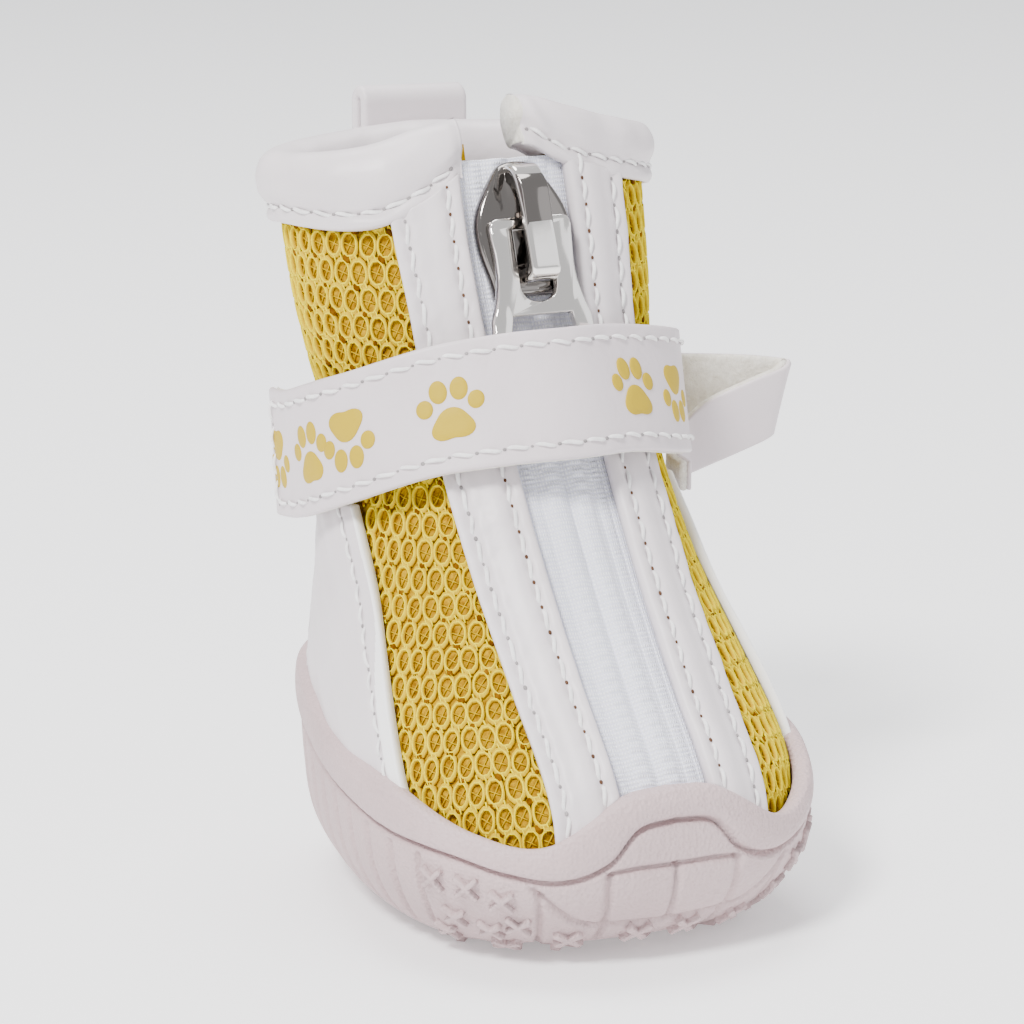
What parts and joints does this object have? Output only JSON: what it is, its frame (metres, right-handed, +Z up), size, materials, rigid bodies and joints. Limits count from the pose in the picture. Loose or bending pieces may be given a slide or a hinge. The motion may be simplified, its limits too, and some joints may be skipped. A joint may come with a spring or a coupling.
{
  "type": "dog boot",
  "caption": "Small zip-front dog boot: hollow spacer-mesh upper, cupped rubber sole with X lugs, padded collar, instep strap and a side loop.",
  "frame": {"origin": "the ground under the middle of the tread, at the foot of its central X lug", "axes": "-Y toward the toe, +X toward the boot's own left side, +Z up out of the collar"},
  "size_m": [0.0586, 0.0641, 0.0792],
  "materials": {
    "rubber": "satin",
    "pu": "satin",
    "mesh": "matte",
    "tape": "satin",
    "lining": "matte",
    "nickel": "polished"
  },
  "bodies": {
    "boot": {"outsole": "rubber", "insole": "lining", "upper": "mesh", "facing_left": "pu", "facing_right": "pu", "side_panel_left": "pu", "side_panel_right": "pu", "heel_counter": "pu", "zip_tape": "tape", "collar_binding": "pu", "strap": "pu", "side_loop": "pu", "pull_loop": "pu", "zip_slider": "nickel"},
    "pull": {"zip_pull": "nickel"}
  },
  "joints": [
    {"name": "pull_swing", "type": "hinge", "parent": "boot", "child": "pull", "pos_m": [0, 0.00342, 0.06724], "axis": [-1, 0, 0], "range_deg": [0, 2]}
  ]
}
